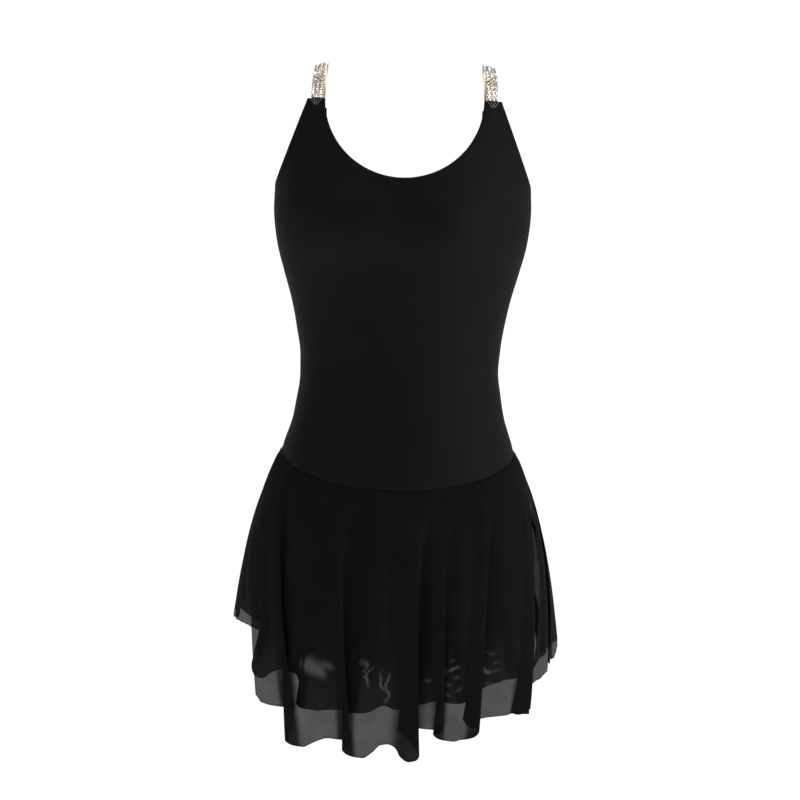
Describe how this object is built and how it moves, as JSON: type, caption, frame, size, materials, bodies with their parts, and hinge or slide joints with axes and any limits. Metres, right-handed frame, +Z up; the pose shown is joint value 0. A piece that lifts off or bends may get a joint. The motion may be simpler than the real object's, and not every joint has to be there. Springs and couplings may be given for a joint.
{
  "type": "gymnastics leotard",
  "caption": "Sleeveless skirted leotard in black stretch cloth, with a scoop neck, rhinestone shoulder straps and a sheer two-panel flared skirt, shaped as worn.",
  "frame": {"origin": "midway between the two straps, at the underside of their crests, where shoulders or a hanger carry the garment", "axes": "+Z up, -Y the way the wearer faces, +X towards the wearer's left"},
  "size_m": [0.3732, 0.3173, 0.7778],
  "materials": {
    "stretch_cloth": "matte black knit",
    "lining_cloth": "matte black power net",
    "elastic": "cloth-covered black elastic",
    "sheer_mesh": "sheer black stretch net",
    "label_satin": "off-white satin",
    "tack_thread": "grey thread",
    "gold_mesh": "polished pale gold",
    "crystal_in_gold": "clear faceted stones in pale gold cups"
  },
  "bodies": {
    "torso": {"bodice_front": "stretch_cloth", "bodice_back": "stretch_cloth", "front_lining": "lining_cloth", "brief_front": "stretch_cloth", "brief_back": "stretch_cloth", "gusset": "stretch_cloth", "gusset_lining": "lining_cloth", "neck_elastic_front": "elastic", "neck_elastic_back": "elastic", "basque_seam_tape_front": "elastic", "basque_seam_tape_back": "elastic", "armhole_elastic_right": "elastic", "leg_elastic_right": "elastic", "side_seam_tape_right": "elastic", "strap_right_tail_front": "stretch_cloth", "strap_right_tail_back": "stretch_cloth", "strap_right_tack_front": "tack_thread", "strap_right_tack_back": "tack_thread", "armhole_elastic_left": "elastic", "leg_elastic_left": "elastic", "side_seam_tape_left": "elastic", "strap_left_tail_front": "stretch_cloth", "strap_left_tail_back": "stretch_cloth", "strap_left_tack_front": "tack_thread", "strap_left_tack_back": "tack_thread"},
    "skirt_front": {"skirt_front_panel": "sheer_mesh"},
    "skirt_back": {"skirt_back_panel": "sheer_mesh"},
    "label": {"care_label": "label_satin"},
    "strap_right": {"strap_right_backing": "gold_mesh", "strap_right_crystal_row_1": "crystal_in_gold", "strap_right_crystal_row_2": "crystal_in_gold", "strap_right_crystal_row_3": "crystal_in_gold"},
    "strap_left": {"strap_left_backing": "gold_mesh", "strap_left_crystal_row_1": "crystal_in_gold", "strap_left_crystal_row_2": "crystal_in_gold", "strap_left_crystal_row_3": "crystal_in_gold"}
  },
  "joints": [
    {"name": "strap_left_swing", "type": "hinge", "parent": "torso", "child": "strap_left", "pos_m": [0.09974, -0.04971, -0.03355], "axis": [-0.0015, 0.9995, -0.0313], "range_deg": [-30, 75], "stiffness_Nm_per_rad": 0.03},
    {"name": "strap_right_swing", "type": "hinge", "parent": "torso", "child": "strap_right", "pos_m": [-0.09974, -0.04971, -0.03355], "axis": [-0.0015, -0.9995, 0.0313], "range_deg": [-30, 75], "stiffness_Nm_per_rad": 0.03},
    {"name": "skirt_front_lift", "type": "hinge", "parent": "torso", "child": "skirt_front", "pos_m": [0, 0, -0.4367], "axis": [-1, 0, 0], "range_deg": [0, 40]},
    {"name": "skirt_back_lift", "type": "hinge", "parent": "torso", "child": "skirt_back", "pos_m": [0, 0, -0.4367], "axis": [1, 0, 0], "range_deg": [0, 40]},
    {"name": "label_flip", "type": "hinge", "parent": "torso", "child": "label", "pos_m": [0, 0.09223, -0.2571], "axis": [-1, 0, 0], "range_deg": [0, 120]}
  ]
}
